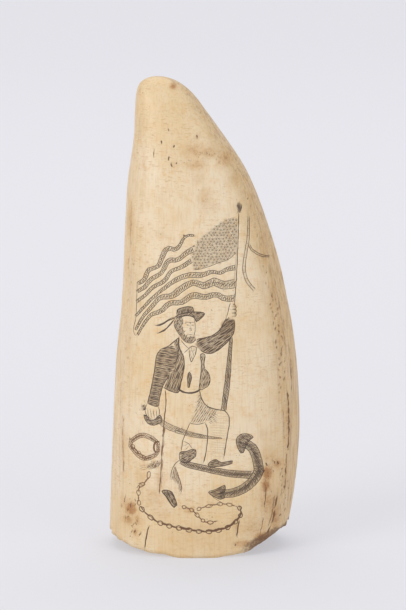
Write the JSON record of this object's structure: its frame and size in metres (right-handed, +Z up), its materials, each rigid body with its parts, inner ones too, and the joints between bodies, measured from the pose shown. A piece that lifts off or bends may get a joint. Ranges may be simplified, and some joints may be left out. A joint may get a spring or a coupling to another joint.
{
  "type": "scrimshaw whale tooth",
  "caption": "Hollow-rooted sperm whale tooth with a line engraving on its flattened face; stands on its root as an ornament.",
  "frame": {"origin": "on the standing rim of the root, under the middle of the tooth's width and thickness", "axes": "+Z up from the root to the tip; +X towards the convex edge; -Y is the engraved face"},
  "size_m": [0.0646, 0.0426, 0.16],
  "materials": {
    "ivory": "satin"
  },
  "bodies": {
    "root": {"whale_tooth": "ivory"}
  },
  "joints": []
}
